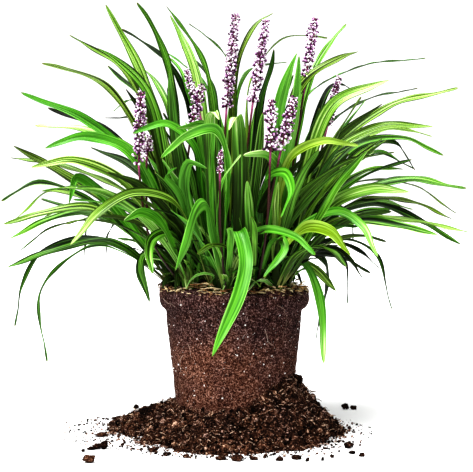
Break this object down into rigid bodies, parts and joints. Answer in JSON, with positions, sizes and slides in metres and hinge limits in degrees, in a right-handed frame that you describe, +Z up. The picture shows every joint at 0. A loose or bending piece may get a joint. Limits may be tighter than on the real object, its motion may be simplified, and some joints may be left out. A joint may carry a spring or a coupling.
{
  "type": "flowering liriope clump with its bare root ball",
  "caption": "Arching strap-leaved grass-like clump with upright mauve flower spikes on a bare pot-shaped root ball, in a low heap of loose soil.",
  "frame": {"origin": "centre of the root ball's flat foot, on the surface that it stands on", "axes": "+Z up along the root ball's axis; +X to the right and -Y towards the side with the most open view of the flower spikes"},
  "size_m": [0.51, 0.4156, 0.468],
  "materials": {
    "root_ball_soil": "matt, fine-grained damp potting soil with white perlite specks and root threads",
    "loose_soil": "matt dark crumbs and lumps",
    "leaf": "satin waxy strap leaf, finely ribbed along its length",
    "flower_stem": "satin, purple-brown to magenta",
    "flower_bud": "soft satin mauve buds with pale pink tips"
  },
  "bodies": {
    "root": {"soil_root_ball": "root_ball_soil", "loose_soil_heap": "loose_soil", "leaf_tuft_01": "leaf", "leaf_tuft_02": "leaf", "leaf_tuft_03": "leaf", "leaf_tuft_04": "leaf", "leaf_tuft_05": "leaf", "leaf_tuft_06": "leaf", "leaf_tuft_07": "leaf", "leaf_tuft_08": "leaf", "leaf_tuft_09": "leaf", "leaf_tuft_10": "leaf", "leaf_tuft_11": "leaf", "leaf_tuft_12": "leaf", "leaf_tuft_13": "leaf", "leaf_tuft_14": "leaf", "leaf_tuft_15": "leaf", "leaf_tuft_16": "leaf", "leaf_tuft_17": "leaf", "leaf_tuft_18": "leaf", "leaf_tuft_19": "leaf", "leaf_tuft_20": "leaf", "flower_stem_01": "flower_stem", "flower_stem_02": "flower_stem", "flower_stem_03": "flower_stem", "flower_stem_04": "flower_stem", "flower_stem_05": "flower_stem", "flower_stem_06": "flower_stem", "flower_stem_07": "flower_stem", "flower_stem_08": "flower_stem", "flower_stem_09": "flower_stem", "flower_stem_10": "flower_stem", "flower_stem_11": "flower_stem", "flower_stem_12": "flower_stem", "flower_head_01": "flower_bud", "flower_head_02": "flower_bud", "flower_head_03": "flower_bud", "flower_head_04": "flower_bud", "flower_head_05": "flower_bud", "flower_head_06": "flower_bud", "flower_head_07": "flower_bud", "flower_head_08": "flower_bud", "flower_head_09": "flower_bud", "flower_head_10": "flower_bud", "flower_head_11": "flower_bud", "flower_head_12": "flower_bud"}
  },
  "joints": []
}
